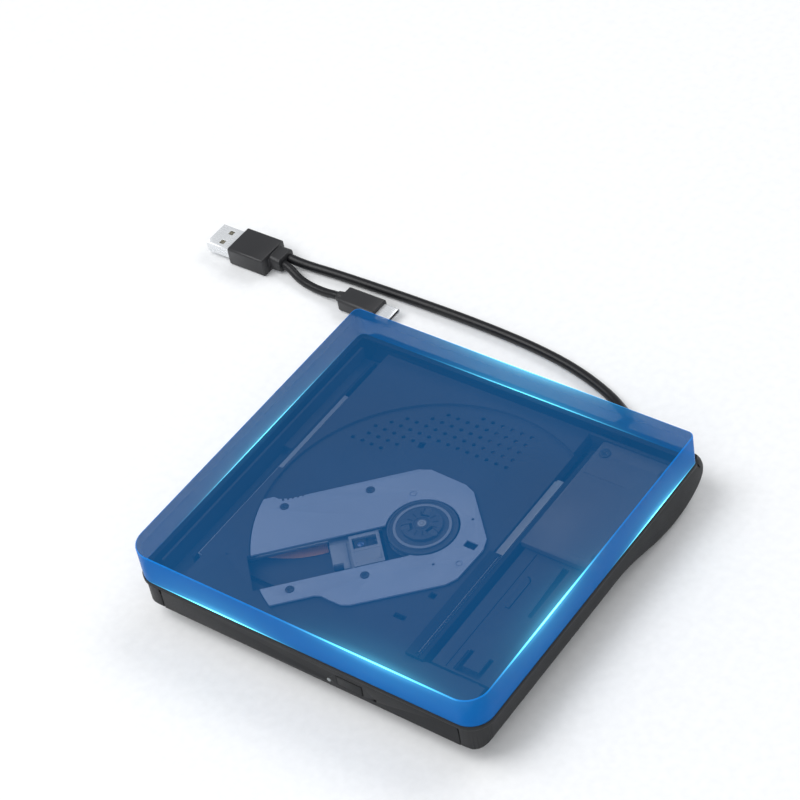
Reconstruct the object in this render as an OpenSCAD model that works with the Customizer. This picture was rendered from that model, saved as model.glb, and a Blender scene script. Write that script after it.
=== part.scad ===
// External slim optical drive with a see-through top cover, a sliding disc tray
// on telescopic rails, a spindle, a laser sled, and a captive lead with two plugs.
// Plan positions inside the housing are written as [x, depth behind the front
// face]; place() moves them so that the origin is bottom centre.

/* [Housing] */
// Width of the housing at its rim
rim_w = 146; // [144:0.5:150]
// Depth of the housing at its rim
rim_d = 137.4; // [137:0.2:139]
// Furthest reach of the rear spine behind the front face
spine_back = 143.5; // [143:0.1:145]
// Height of the rim, where cover and base meet
rim_z = 19.6; // [19.6:0.1:20]
// Height of the see-through cover above the rim
cover_h = 13; // [12:0.5:15]
// Height of the underside in front of the spine
under_z = 7.2; // [7:0.1:7.4]
// Plan radius of the two front corners
front_r = 9; // [7:0.5:10]
// Plan radius of the two rear corners
rear_r = 3; // [2:0.5:4]
// Wall thickness of the base
base_wall = 1.4; // [1.2:0.1:1.6]
// Wall thickness of the cover
cover_wall = 1.8; // [1.6:0.1:2]

/* [Tray] */
// How far the tray slides out
tray_travel = 130; // [120:1:130]
// Radius of the disc recess
recess_r = 61; // [60.8:0.1:61.2]
// Depth of the disc recess
recess_deep = 1.3; // [1.2:0.1:1.4]
// Distance between perforations
perf_pitch = 4.18; // [4.1:0.02:4.3]
// Width of the front bezel
bezel_w = 124.8; // [124:0.2:125.2]

/* [Spindle and sled] */
// Spindle axis, to the right of the middle
spindle_x = 2.2; // [2:0.1:2.4]
// Spindle axis, behind the front face
spindle_d = 68.8; // [68.6:0.1:69]
// Angle of the sled's travel from the side-to-side axis
sled_a = 45; // [44:0.5:46]
// Radius of the clamping hub, which enters a disc's centre hole
hub_r = 7.4; // [7.3:0.05:7.45]
// Lead screw pitch
screw_pitch = 3; // [2.5:0.5:3]

/* [Lead] */
// Diameter of the main lead
lead_dia = 3.8; // [3.6:0.1:4]
// Diameter of the short branch
branch_dia = 3.4; // [3.2:0.1:3.6]

/* [Hidden] */
$fn = 48;

// heights
foot_t = 0.6;
tray_z = rim_z - 4;
recess_z = tray_z - recess_deep;
floor_t = 1;
pan_z = rim_z - 10;
pan_t = 0.8;
panel_z = rim_z - 6.2;
sheet_t = 0.8;
flange_t = 2;
mouth_z = rim_z - 1.8;
rod_z = tray_z - 4.2;
disc_z = tray_z + 0.6;
hub_top_z = tray_z + 2;

// base shell outline
side_set = 0.8;
edge_r = 4.2;
toe_r = 0.8;
spine_d0 = 84;
spine_d1 = 121;
spine_mid_z = rim_z - 8;
curl_r = 8;
rim_in = side_set + base_wall;
half_w = rim_w / 2;
bezel_t = 2;
bezel_x = 0.8;
spine_steps = 12;

// guides and tray outline
tray_left = -59.5;
tray_right = 29.8;
tray_back = 135;
tray_front = side_set + bezel_t + 0.1;
bar_d = 19.5;
bar_right = 61.5;
rib_z = pan_z + 0.4;
run_gap = 0.15;

// traverse unit, in its own u, v axes along and across the sled's travel
plate_u = 20.4;
plate_v = 28;
motor_hole_r = 13.3;
window_v0 = -11.8;
window_v1 = 4.8;
rod_r = 1;
rod_v = [-14.5, 7.6];
rod_u0 = -69.6;
rod_u1 = -13.2;
screw_v = 11.6;
motor_u0 = -25.4;
motor_len = 11;
carriage_u0 = -33.2;
carriage_u1 = -15.2;
wing_z = tray_z - 3.1;
lens_u = -22.2;
plate_holes = [[-45.6, 24.6], [-14.7, 23.3], [-23.2, -16.1], [-49.3, -14.9]];
plate_pads = [[-30, 27], [-6, 27], [18.4, 4], [18.2, -12], [-10, -26.8], [-26, -26.8]];
head_r = 1.55;
damper_spots = [[-52, 20.5], [-6, 21], [-31.5, -20.6], [9, -17]];

// eject button and latch
clip_x = [-40, -8, 44];
button_x = 19.2;
button_z = rim_z - 7.4;
button_w = 10.6;
button_h = 4.4;
pinhole_x = 29.3;
led_x = 10.3;
control_z = rim_z - 9.4;
latch_x = 52;
latch_d = 12;

// lead and plugs: route points are [x, y, z] with the origin bottom centre
exit_x = 35;
gland_len = 4.2;
exit_y = spine_back / 2 + gland_len;
exit_z = 10.6;
lead_r = lead_dia / 2;
branch_r = branch_dia / 2;
plug_a = [-151, 97.4];
plug_c = [-94.5, 91.8];
main_route = [
  [35, 75.95, 10.6], [34.8, 78, 9.9], [33.8, 80.6, 8.2], [31.8, 83.4, 6],
  [28.6, 86.6, 3.6], [24.5, 89.6, 2.3], [19, 92.6, 1.95], [12, 95.4, 1.95],
  [3, 98.2, 1.95], [-8, 100.6, 1.95], [-22, 102.4, 1.95], [-38, 103.4, 1.95],
  [-56, 103.8, 1.95], [-76, 103.7, 1.95], [-96, 103.3, 1.95],
  [-114, 102.7, 1.95], [-126, 101.8, 2.2], [-132, 101.1, 2.9],
  [-135.4, 100.9, 3.4], [-137, 100.9, 3.5]
];
branch_route = [
  [-137, 96.8, 3.5], [-135, 96.6, 3.3], [-131.6, 95.6, 2.6],
  [-127.6, 94.2, 1.9], [-123, 93, 1.75], [-118, 92.3, 1.75],
  [-112.6, 91.9, 2.1], [-108.4, 91.8, 2.7], [-106.2, 91.8, 2.9]
];

base_shell();
top_cover();
front_feet();
rear_foot_strips();
case_screws();
chassis_pan();
side_panel();
pcb_cover();
cover_plate_screws();
main_pcb();
pcb_chips();
drive_connector();
bridge_pcb();
bridge_chips();
left_guide();
right_guide();
latch_pin();
ribbon_lower();
cable_gland();
main_cable();
branch_cable();
usb_a_body();
usb_a_shell();
usb_a_tongue();
usb_c_body();
usb_c_shell();
usb_c_tongue();
left_rail();
right_rail();
ribbon_fold();
tray();
rail_cover();
front_bezel();
led_lens();
button_board();
traverse_plate();
plate_screws();
traverse_frame();
dampers();
guide_rods();
spindle_motor();
sled_motor();
pickup_flex();
ribbon_upper();
latch_solenoid();
eject_button();
turntable();
turntable_ring();
hub();
hub_claw(0);  // hub_claw_1
hub_claw(1);  // hub_claw_2
hub_claw(2);  // hub_claw_3
lead_screw();
pickup_carriage();
pickup_cover();
lens_actuator();
objective_lens();
latch_lever();
solenoid_plunger();

// ---- helpers -------------------------------------------------------------

// Children are drawn in [x, depth behind the front face, z].
module place() {
  translate([0, -spine_back / 2, 0]) children();
}

// Children are drawn in [u, v, z] about the spindle axis.
module at_spindle() {
  place() translate([spindle_x, spindle_d, 0]) rotate(sled_a) children();
}

// A box given by its two opposite corners.
module block(low, high) {
  translate(low) cube(high - low);
}

// A flat plate of the 2-D children between two heights.
module slab(z0, z1) {
  translate([0, 0, z0]) linear_extrude(z1 - z0) children();
}

// An upright rod or hole between two heights.
module post(x, y, z0, z1, r) {
  translate([x, y, z0]) cylinder(h = z1 - z0, r = r);
}

// Rectangle with its own radius at the front and the rear corners.
module rounded_plan(x0, x1, y0, y1, rf, rr) {
  translate([x0, y0 + rf]) square([x1 - x0, y1 - y0 - rf - rr]);
  translate([x0 + rf, y0]) square([x1 - x0 - 2 * rf, rf * 2]);
  translate([x0 + rr, y1 - 2 * rr]) square([x1 - x0 - 2 * rr, rr * 2]);
  for (x = [x0 + rf, x1 - rf]) translate([x, y0 + rf]) circle(rf);
  for (x = [x0 + rr, x1 - rr]) translate([x, y1 - rr]) circle(rr);
}

// The rim's plan, set in by i on every side.
module rim_plan(i) {
  rounded_plan(-half_w + i, half_w - i, i, rim_d - i, front_r - i, max(rear_r - i, 0.3));
}

// Plan of the base below the rim, set in by i; it runs on over the spine.
module body_plan(i) {
  rounded_plan(-half_w + i, half_w - i, i, spine_back + 1, front_r - i, rear_r);
}

// Points of an elliptical arc from angle a0 to a1, from step k0 to step n.
function arc(cx, cy, rx, ry, a0, a1, n, k0 = 0) =
  [for (k = [k0:n]) let (a = a0 + (a1 - a0) * k / n) [cx + rx * cos(a), cy + ry * sin(a)]];

// Side outline of the base as [depth, z], set in by i.
function side_outline(i) = concat(
  [[side_set + i, rim_z]],
  [[side_set + i, under_z + toe_r + i], [side_set + toe_r + i, under_z + i]],
  [for (k = [0:spine_steps]) let (t = k / spine_steps)
    [spine_d0 + (spine_d1 - spine_d0) * t,
     under_z + i - (under_z - foot_t) * (1 - cos(180 * t)) / 2]],
  arc(spine_d1, spine_mid_z, spine_back - spine_d1 - i, spine_mid_z - foot_t - i, -90, 0, 8, 1),
  arc(spine_back - curl_r, spine_mid_z, curl_r - i, curl_r - i, 0, 75, 6, 1),
  [[spine_back - curl_r - 0.5, rim_z]]
);

// Outer form of the base: the side outline swept across, drawn in towards
// both ends so that the long lower edges are rounded.
module base_form() {
  steps = 5;
  ease = [for (k = [0:steps]) 84 * k / steps];
  right = [for (a = ease) [half_w - side_set - edge_r + edge_r * sin(a), edge_r * (1 - cos(a))]];
  left = [for (k = [steps:-1:0]) [-right[k][0], right[k][1]]];
  stations = concat(left, right);
  n = len(side_outline(0));
  last = len(stations) - 1;
  // both end faces are cut into triangles from the top of the spine's curl
  eye = n - 2;
  spokes = [for (j = [0:n - 1]) if (j != eye && (j + 1) % n != eye) j];
  polyhedron(
    points = [for (s = stations) for (p = side_outline(s[1])) [s[0], p[0], p[1]]],
    faces = concat(
      [for (j = spokes) [eye, j, (j + 1) % n]],
      [for (j = spokes) [last * n + eye, last * n + (j + 1) % n, last * n + j]],
      [for (s = [0:last - 1]) for (j = [0:n - 1]) let (k = (j + 1) % n)
        [s * n + j, (s + 1) * n + j, (s + 1) * n + k]],
      [for (s = [0:last - 1]) for (j = [0:n - 1]) let (k = (j + 1) % n)
        [s * n + j, (s + 1) * n + k, s * n + k]]
    ),
    convexity = 6
  );
}

// A tube swept along a route; each ring faces along the line from the point
// before to the point after.
module swept_tube(route, r, sides) {
  n = len(route);
  dirs = [for (k = [0:n - 1]) let (d = route[min(k + 1, n - 1)] - route[max(k - 1, 0)]) d / norm(d)];
  rings = [for (k = [0:n - 1]) let (
      side = cross(dirs[k], [0, 0, 1]) / norm(cross(dirs[k], [0, 0, 1])),
      up = cross(side, dirs[k]))
    for (j = [0:sides - 1]) route[k] + r * (cos(360 * j / sides) * side + sin(360 * j / sides) * up)];
  polyhedron(
    points = rings,
    faces = concat(
      [[for (j = [0:sides - 1]) j]],
      [[for (j = [sides - 1:-1:0]) (n - 1) * sides + j]],
      [for (k = [0:n - 2]) for (j = [0:sides - 1]) let (m = (j + 1) % sides)
        [k * sides + j, (k + 1) * sides + j, (k + 1) * sides + m]],
      [for (k = [0:n - 2]) for (j = [0:sides - 1]) let (m = (j + 1) % sides)
        [k * sides + j, (k + 1) * sides + m, k * sides + m]]
    ),
    convexity = 6
  );
}

// A route with a smooth (Catmull-Rom) point added between each two given ones.
function eased(p) = let (n = len(p)) concat(
  [for (k = [0:n - 2]) each [p[k],
    let (a = p[max(k - 1, 0)], d = p[min(k + 2, n - 1)])
      (9 * (p[k] + p[k + 1]) - a - d) / 16]],
  [p[n - 1]]
);

// ---- housing -------------------------------------------------------------

base_color = [0.2, 0.2, 0.21];
cover_color = [0.16, 0.5, 0.85, 0.35];
inner_color = [0.24, 0.36, 0.52];
metal_color = [0.62, 0.68, 0.76];

head_z = under_z + 0.9;
boss_spots = [[-62, 30], [62, 30], [-62, 104], [62, 104]];
foot_spots = [[-50, 20], [50, 20]];
foot_r = 4.5;
strip_x = [-46, 46];

module base_shell() {
  color(base_color) place() {
    difference() {
      union() {
        intersection() {
          base_form();
          slab(0, rim_z - flange_t) body_plan(side_set);
        }
        slab(rim_z - flange_t, rim_z) rim_plan(0);
        curl_top();
        for (s = foot_spots) post(s[0], s[1], foot_t + 0.6, under_z + 0.5, foot_r + 1);
      }
      base_hollow();
      // mouth for the bezel and the tray
      block([bezel_x - bezel_w / 2 - 0.3, -1, under_z - 1],
            [bezel_x + bezel_w / 2 + 0.3, side_set + bezel_t + 0.2, mouth_z]);
      block([-63.5, 2.5, under_z + base_wall], [65.5, 6, mouth_z]);
      // lead opening, seats for the feet and holes for the case screws
      translate([exit_x, spine_back - 10, exit_z]) rotate([-90, 0, 0]) cylinder(h = 12, r = 2.6);
      for (s = foot_spots) post(s[0], s[1], 0, foot_t + 1.2, foot_r);
      for (x = strip_x) block([x - 16, spine_d1 - 3, 0], [x + 16, spine_d1 + 3, foot_t + 0.6]);
      for (s = boss_spots) post(s[0], s[1], 0, rim_z, 1.3);
      for (s = boss_spots) post(s[0], s[1], 0, head_z, 2.4);
    }
    // locating ledges for the two boards in the spine
    for (x = [12, 56]) block([x, 108, spine_floor_z], [x + 2, 128, bridge_z]);
  }
}

spine_floor_z = foot_t + base_wall - 0.1;
bridge_z = 4.6;

// Rounded top of the spine, which runs into the back of the rim flange.
module curl_top() {
  z0 = rim_z - flange_t;
  back = spine_back - curl_r;
  x = half_w - rear_r - side_set;
  translate([-x, 0, 0]) rotate([90, 0, 90]) linear_extrude(2 * x)
    polygon(concat(
      [[back - 2, z0 + 0.2], [back - 2, z0]],
      arc(back, spine_mid_z, curl_r, curl_r, asin((z0 - spine_mid_z) / curl_r), 75, 6),
      [[back - 0.5, rim_z - 0.02]]
    ));
}

// Inside of the base: the side outline set in by the wall, between flat walls.
module base_hollow() {
  roof = [[spine_back - curl_r, rim_z + 1], [side_set + base_wall, rim_z + 1]];
  difference() {
    intersection() {
      translate([-half_w, 0, 0]) rotate([90, 0, 90])
        linear_extrude(rim_w) polygon(concat(side_outline(base_wall), roof));
      slab(0, rim_z + 2) body_plan(rim_in);
    }
    for (s = boss_spots) post(s[0], s[1], 0, pan_z - pan_t, 4);
    // gland wall behind the spine's hollow
    block([exit_x - 6, 138.2, 0], [exit_x + 6, spine_back, exit_z + 5]);
  }
}

module top_cover() {
  top = rim_z + cover_h;
  lip = 1;
  color(cover_color) place() {
    difference() {
      slab(rim_z, top) rim_plan(0.3);
      slab(rim_z - 1, top - cover_wall) rim_plan(0.3 + cover_wall);
    }
    difference() {
      slab(rim_z - lip, rim_z) rim_plan(rim_in + 0.1);
      slab(rim_z - lip - 1, rim_z + 1) rim_plan(rim_in + 0.1 + lip);
      block([-64, -1, rim_z - 2], [66, 12, rim_z - 0.01]);
    }
    // ledge that joins the lip to the walls
    difference() {
      slab(rim_z, rim_z + 0.8) rim_plan(0.4 + cover_wall - 0.2);
      slab(rim_z - 1, rim_z + 2) rim_plan(rim_in + 0.1 + lip);
    }
  }
}

module front_feet() {
  color([0.12, 0.12, 0.12]) place() for (s = foot_spots) post(s[0], s[1], 0, foot_t + 1.2, foot_r);
}

module rear_foot_strips() {
  color([0.12, 0.12, 0.12]) place()
    for (x = strip_x) slab(0, foot_t + 0.6) rounded_plan(x - 16, x + 16, spine_d1 - 3, spine_d1 + 3, 0.8, 0.8);
}

module case_screws() {
  color(metal_color) place() for (s = boss_spots) difference() {
    union() {
      post(s[0], s[1], head_z - 0.85, head_z, 2.2);
      post(s[0], s[1], head_z, pan_z, 1.1);
    }
    // cross recess
    for (a = [0, 90]) translate([s[0], s[1], head_z - 1]) rotate(a)
      translate([-1.2, -0.25, 0]) cube([2.4, 0.5, 0.6]);
  }
}

// ---- fixed parts of the drive ----------------------------------------------

pan_x = 69.9;
pan_back = 134.4;

module chassis_pan() {
  wall_z = rim_z - 2.2;
  color(inner_color) place() difference() {
    union() {
      slab(pan_z - pan_t, pan_z) rounded_plan(-pan_x, pan_x, 3.4, pan_back, 1, 2);
      for (x = [-pan_x, pan_x - 1]) block([x, 12, pan_z - pan_t], [x + 1, pan_back - 2, wall_z]);
      block([tray_right + 0.6, pan_back - 1, pan_z - pan_t], [pan_x - 2, pan_back, wall_z - 1]);
      // raised bed of the left channel, behind its step
      block([-pan_x, 81, pan_z - pan_t], [-64.2, pan_back - 2, pan_z + 2.2]);
    }
    for (s = boss_spots) post(s[0], s[1], 0, rim_z, 1.1);
    // opening over the spine for the connector and the bridge board
    block([-40, 112, 0], [66, pan_back - 4, pan_z + 1]);
    // long slots that stiffen and air the floor
    for (k = [0:3]) block([-44 + 16 * k, 24, 0], [-32 + 16 * k, 26, pan_z + 1]);
  }
}

panel_x0 = 38.2;
panel_x1 = 68.6;
panel_d0 = 21.8;
panel_d1 = 78.8;

module side_panel() {
  slit = 0.5;
  color(inner_color) place() {
    slab(panel_z - sheet_t, panel_z) difference() {
      translate([panel_x0, panel_d0]) square([panel_x1 - panel_x0, panel_d1 - panel_d0]);
      // long joint between the two halves, and a narrow strip beside it
      translate([43.2, panel_d0 + 0.6]) square([0.35, panel_d1 - panel_d0 - 1.2]);
      translate([46.1, panel_d0 + 1]) square([0.5, 9]);
      // sprung tab in a U-shaped cut
      translate([46.8, 22.6]) square([1.6, 9.8]);
      translate([46.8, 22.6]) square([9.6, 2.6]);
      translate([54.8, 22.6]) square([1.6, 9.4]);
      // hook-shaped slit
      translate([47.9, 53]) square([slit, 13]);
      translate([46.7, 53]) square([1.6, slit]);
      translate([45.9, 66]) difference() {
        circle(2.5);
        circle(2.5 - slit);
        translate([-3, -3]) square([3, 6]);
        translate([-3, -3]) square([6, 3]);
      }
      // long slot that narrows towards the front
      polygon([[54.6, panel_d1 - 1.5], [57.2, panel_d1 - 1.5], [57.2, 53.2], [55.7, 53.2]]);
    }
    // folded legs that stand the panel on the pan
    block([panel_x0, panel_d0, pan_z], [panel_x0 + sheet_t, panel_d1, panel_z]);
    block([panel_x1 - sheet_t, panel_d0, pan_z], [panel_x1, panel_d1, panel_z]);
    block([panel_x0, panel_d0, pan_z], [46, panel_d0 + sheet_t, panel_z]);
    block([57, panel_d0, pan_z], [panel_x1, panel_d0 + sheet_t, panel_z]);
  }
}

plateau_x0 = 36.4;
plateau_d0 = 79;
plateau_d1 = 134;
plateau_holes = [[64, 84], [64, 128], [40, 128]];

module pcb_cover() {
  color(inner_color) place() difference() {
    union() {
      slab(tray_z - sheet_t, tray_z) rounded_plan(plateau_x0, panel_x1, plateau_d0, pan_back - 1.2, 0.5, 1);
      block([plateau_x0, plateau_d0, panel_z], [panel_x1, plateau_d0 + sheet_t, tray_z]);
    }
    for (h = plateau_holes) post(h[0], h[1], 0, rim_z, 1.1);
    // crease across the sheet
    block([plateau_x0 + 1.6, 116.8, tray_z - 0.2], [55, 117.2, tray_z + 1]);
  }
}

module cover_plate_screws() {
  color(metal_color) place() for (h = plateau_holes) difference() {
    union() {
      post(h[0], h[1], tray_z, tray_z + 0.5, 2);
      post(h[0], h[1], pan_z + 0.2, tray_z, 1);
    }
    for (a = [0, 90]) translate([h[0], h[1], tray_z + 0.2]) rotate(a)
      translate([-1.1, -0.2, 0]) cube([2.2, 0.4, 1]);
  }
}

board_z = pan_z + 1.4;
board_t = 0.8;

module main_pcb() {
  color([0.1, 0.32, 0.2]) place() {
    difference() {
      block([38.6, 82, board_z], [67.4, 130, board_z + board_t]);
      for (h = plateau_holes) post(h[0], h[1], 0, rim_z, 1.3);
    }
    for (p = [[42, 86], [62, 106]]) post(p[0], p[1], pan_z, board_z, 1.5);
  }
}

module pcb_chips() {
  top = board_z + board_t;
  color([0.15, 0.15, 0.16]) place() {
    block([44, 90, top], [56, 102, top + 1.2]);
    block([47, 106, top], [55, 112, top + 1]);
    block([41, 117, top], [48, 121, top + 1]);
    for (k = [0:5]) block([58 + (k % 2) * 3, 92 + 3 * floor(k / 2), top], [59.6 + (k % 2) * 3, 93 + 3 * floor(k / 2), top + 0.7]);
    // socket of the tray ribbon
    block([39.4, 84, top], [42, 96, top + 1.4]);
  }
}

module drive_connector() {
  color([0.9, 0.88, 0.8]) place() difference() {
    block([44, 123, pan_z - 1.6], [61, 129.8, board_z]);
    block([45.4, 124.4, pan_z - 2], [59.6, 128.4, pan_z - 0.2]);
  }
}

module bridge_pcb() {
  color([0.1, 0.32, 0.2]) place() {
    difference() {
      block([10, 106, bridge_z], [58.4, 131, bridge_z + 1]);
      for (x = [15, 55]) post(x, 109, 0, rim_z, 1.2);
    }
  }
}

module bridge_chips() {
  top = bridge_z + 1;
  color([0.15, 0.15, 0.16]) place() {
    block([24, 112, top], [31, 119, top + 1.1]);
    block([36, 110, top], [41, 115, top + 1]);
    block([17, 122, top], [20, 126, top + 1.2]);
    // mating half of the drive connector
    block([45.6, 124.6, top], [59.4, 128.2, pan_z - 0.4]);
    for (k = [0:4]) block([33 + 2.4 * k, 120, top], [34.6 + 2.4 * k, 121, top + 0.6]);
  }
}

// Guides of the two rails: an upright wall and a foot under the rail; the right
// one also has a lip over the rail's flange.
guide_d0 = 20;
guide_d1 = 128;
guide_top = tray_z - 0.6;
rail_z0 = rib_z + 0.1;
rail_top = tray_z - 0.45;

module left_guide() {
  color(base_color) place() {
    block([-63, guide_d0, pan_z], [-61.85, guide_d1, guide_top]);
    block([-63, guide_d0, pan_z], [-60.4, guide_d1, rib_z - 0.05]);
  }
}

module right_guide() {
  color(base_color) place() difference() {
    union() {
      block([35, guide_d0, pan_z], [36, guide_d1, guide_top]);
      block([31, guide_d0, pan_z], [36, guide_d1, rib_z - 0.05]);
      block([34.3, guide_d0, guide_top - 0.9], [36, guide_d1, guide_top]);
    }
    // gap that the ribbon passes through on its way to the board
    block([30, 97.6, 0], [37, 104.4, pan_z + 0.2]);
  }
}

// Rails travel half as far as the tray.
rail_d0 = 22;
rail_d1 = 110;

module left_rail() {
  color(metal_color) place() block([-61.7, rail_d0, rail_z0], [-60, rail_d1, rail_top]);
}

module right_rail() {
  color(metal_color) place() {
    block([30.4, rail_d0, rail_z0], [34.8, rail_d1, guide_top - 1.1]);
    block([31.7, rail_d0, guide_top - 1.2], [34.1, rail_d1, rail_top]);
  }
}

// Pin on the pan that the tray's latch hooks, set into the tray's front bar.
module latch_pin() {
  color(metal_color) place() {
    post(latch_x, latch_d, pan_z, pan_z + 3.4, 1.1);
    post(latch_x, latch_d, pan_z, pan_z + 0.8, 2.2);
  }
}

// Flat ribbon between the fixed board and the tray: a lower run on the pan, a
// fold that travels half as far as the tray, and an upper run under the tray.
ribbon_x = [-2, 16];
ribbon_t = 0.12;

module ribbon_lower() {
  color([0.85, 0.86, 0.84]) place() {
    block([ribbon_x[0], 30, pan_z], [ribbon_x[1], 104, pan_z + ribbon_t]);
    block([ribbon_x[1], 98, pan_z], [38, 104, pan_z + ribbon_t]);
  }
}

module ribbon_fold() {
  z0 = pan_z + ribbon_t + 0.02;
  color([0.85, 0.86, 0.84]) place() {
    block([ribbon_x[0], 105, z0], [ribbon_x[1], 108, z0 + 1.6 * ribbon_t]);
    // carrier strip that ties the fold to the right rail
    block([ribbon_x[1], 105, z0], [30.9, 108, z0 + 1.6 * ribbon_t]);
    block([30.6, 105, z0], [30.9, 108, rib_z + 0.1]);
  }
}

module ribbon_upper() {
  color([0.85, 0.86, 0.84]) place()
    block([ribbon_x[0], 108, recess_z - floor_t - ribbon_t], [ribbon_x[1], 130, recess_z - floor_t]);
}

// ---- tray ----------------------------------------------------------------

perf_x = 11.6;
perf_d = 94.7;

function in_perforation(x, d) =
  let (r = norm([x - spindle_x, d - spindle_d]))
  r < 56.9 && x < 12 && d > 93 && (x > -24 ? d > 107 : r > 44) && r > 38;

module tray() {
  color(inner_color) place() difference() {
    union() {
      slab(tray_z - floor_t, tray_z) tray_plan();
      intersection() {
        slab(recess_z - floor_t, tray_z) translate([spindle_x, spindle_d]) circle(recess_r + 1.2);
        slab(recess_z - floor_t, tray_z) tray_plan();
      }
      // stiffening ribs along the edges
      block([tray_left, 22, rib_z], [tray_left + 1.2, tray_back, tray_z]);
      block([tray_left, tray_back - 1.2, rib_z], [tray_right, tray_back, tray_z]);
      block([tray_right - 1.2, bar_d - 1.2, rib_z], [tray_right, tray_back, tray_z]);
      block([tray_left, tray_front, rib_z], [bar_right, tray_front + 1.4, tray_z]);
      block([tray_right, bar_d - 1.2, rib_z], [bar_right, bar_d, tray_z]);
      // lip over the front end of the left rail
      block([-61.2, 22, tray_z - 0.25], [tray_left + 0.1, 69, tray_z]);
    }
    // disc recess
    translate([spindle_x, spindle_d, recess_z]) cylinder(h = 5, r = recess_r, $fn = 128);
    traverse_opening();
    // perforations on a square grid, and the square sensor hole among them
    for (i = [-14:0], j = [0:7]) let (x = perf_x + i * perf_pitch, d = perf_d + j * perf_pitch)
      if (in_perforation(x, d)) post(x, d, 0, tray_z, 0.8);
    translate([-21.9, 102.6, 0]) rotate(8) translate([-1.2, -1.5, 0]) cube([2.4, 3, rim_z]);
    // slots and dimples of the right front part
    block([15.6, 31.2, 0], [20.2, 33.4, rim_z]);
    block([21.3, 44, 0], [23.8, 46.6, rim_z]);
    for (p = [[-52.2, 63.4], [-51.7, 26]]) post(p[0], p[1], tray_z - 0.4, rim_z, 0.7);
    // gate in the bar's rear rib that the latch pin passes through
    block([latch_x - 3, bar_d - 2, 0], [latch_x + 3, bar_d + 1, pan_z + 4]);
    // gaps in the front rib for the controls and the bezel's clips
    block([4, tray_front - 1, 0], [32, 7.2, tray_z - floor_t]);
    for (x = clip_x) block([x - 0.2, 0, tray_z - floor_t - 1.2], [x + 8.2, 8, tray_z - floor_t]);
  }
  // upright pin that the latch turns on
  color(inner_color) place() post(pivot[0], pivot[1], pan_z + 0.9, tray_z - floor_t + 0.1, 0.84);
  // pads that carry the cover plate clear of the recess floor
  color(inner_color) at_spindle() for (p = plate_pads) post(p[0], p[1], recess_z - 0.1, tray_z - sheet_t, 0.8);
}

// Dark cover over the front end of the right rail, on a web along the tray's edge.
module rail_cover() {
  d0 = bar_d + 0.1;
  d1 = 70.8;
  color([0.16, 0.17, 0.19]) place() {
    block([tray_right - 0.6, d0, recess_z], [tray_right, d1, tray_z]);
    block([tray_right - 0.1, d0, tray_z - 0.25], [33, d1, tray_z]);
    block([33.5, d0, tray_z - 0.25], [34.2, d1, tray_z]);
    for (d = [d0, d1 - 1]) block([32.5, d, tray_z - 0.25], [34.2, d + 1, tray_z]);
  }
}

module tray_plan() {
  rounded_plan(tray_left, tray_right, tray_front, tray_back, 1, 3);
  translate([tray_left + 1, tray_front]) square([bar_right - tray_left - 1, bar_d - tray_front]);
}

// Opening that the traverse unit fills, just inside the cover plate's outline, with a low pocket under the tray's
// front left corner where the sled's outer end runs.
module traverse_opening() {
  translate([spindle_x, spindle_d, 0]) rotate(sled_a) {
    slab(0, rim_z) intersection() {
      polygon([
        [-61, 26], [7.4, 26], [17, 15.85], [17, -16.95], [7.9, -25.4], [-33.95, -25.4],
        [-36.35, -23.1], [-38.8, -20.4], [-41.5, -19.4], [-61, -19.4]
      ]);
      circle(recess_r - 1.6);
    }
    slab(0, rim_z) translate([-61.8, window_v0]) square([10, window_v1 - window_v0]);
    slab(0, recess_z - floor_t - 0.05) translate([-71.4, -17.4]) square([20, 32.4]);
  }
}

module front_bezel() {
  x0 = bezel_x - bezel_w / 2;
  x1 = bezel_x + bezel_w / 2;
  d0 = side_set;
  color(base_color) place() difference() {
    union() {
      // face with a small rounding along its lower edge
      translate([x0, 0, 0]) rotate([90, 0, 90]) linear_extrude(x1 - x0) polygon(concat(
        [[d0, mouth_z - 0.3], [d0, under_z + toe_r]],
        arc(d0 + toe_r, under_z + toe_r, toe_r, toe_r, 180, 270, 4, 1),
        [[d0 + bezel_t, under_z], [d0 + bezel_t, mouth_z - 0.3]]));
      // clips that hold the bezel to the tray
      for (x = clip_x) block([x, d0 + bezel_t - 0.1, tray_z - floor_t - 1], [x + 8, tray_front + 4, tray_z - floor_t]);
    }
    block([button_x - button_w / 2, -1, button_z - button_h / 2], [button_x + button_w / 2, 9, button_z + button_h / 2]);
    translate([pinhole_x, -1, control_z]) rotate([-90, 0, 0]) cylinder(h = 9, r = 0.6);
    translate([led_x, -1, control_z]) rotate([-90, 0, 0]) cylinder(h = 9, r = 0.8);
    for (x = clip_x) block([x + 2.5, tray_front + 1.5, 0], [x + 5.5, tray_front + 3, rim_z]);
  }
}

module led_lens() {
  color([0.85, 0.95, 0.9]) place() translate([led_x, side_set - 0.1, control_z]) rotate([-90, 0, 0]) {
    cylinder(h = bezel_t + 0.6, r = 0.8);
    translate([0, 0, bezel_t + 0.1]) cylinder(h = 0.5, r = 1.3);
  }
}

board_back = 6.6;

module button_board() {
  color([0.1, 0.32, 0.2]) place() {
    block([5, 5.6, rib_z + 0.2], [27.6, board_back, tray_z - floor_t]);
    // switch, and lamp behind the lens
    block([button_x - 2, 4.2, button_z - 1.6], [button_x + 2, 5.6, button_z + 1.2]);
    block([led_x - 1.1, 3.9, control_z - 0.4], [led_x + 1.1, 5.7, control_z + 1.2]);
  }
}

module eject_button() {
  w = button_w / 2 - run_gap;
  h = button_h / 2 - run_gap;
  color(base_color) place() {
    block([button_x - w, side_set - 0.2, button_z - h], [button_x + w, side_set + 1.8, button_z + h]);
    // plunger that reaches the switch
    translate([button_x, side_set + 1.7, button_z]) rotate([-90, 0, 0]) cylinder(h = 0.9, r = 1.1);
  }
}

// ---- traverse unit ---------------------------------------------------------

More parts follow.
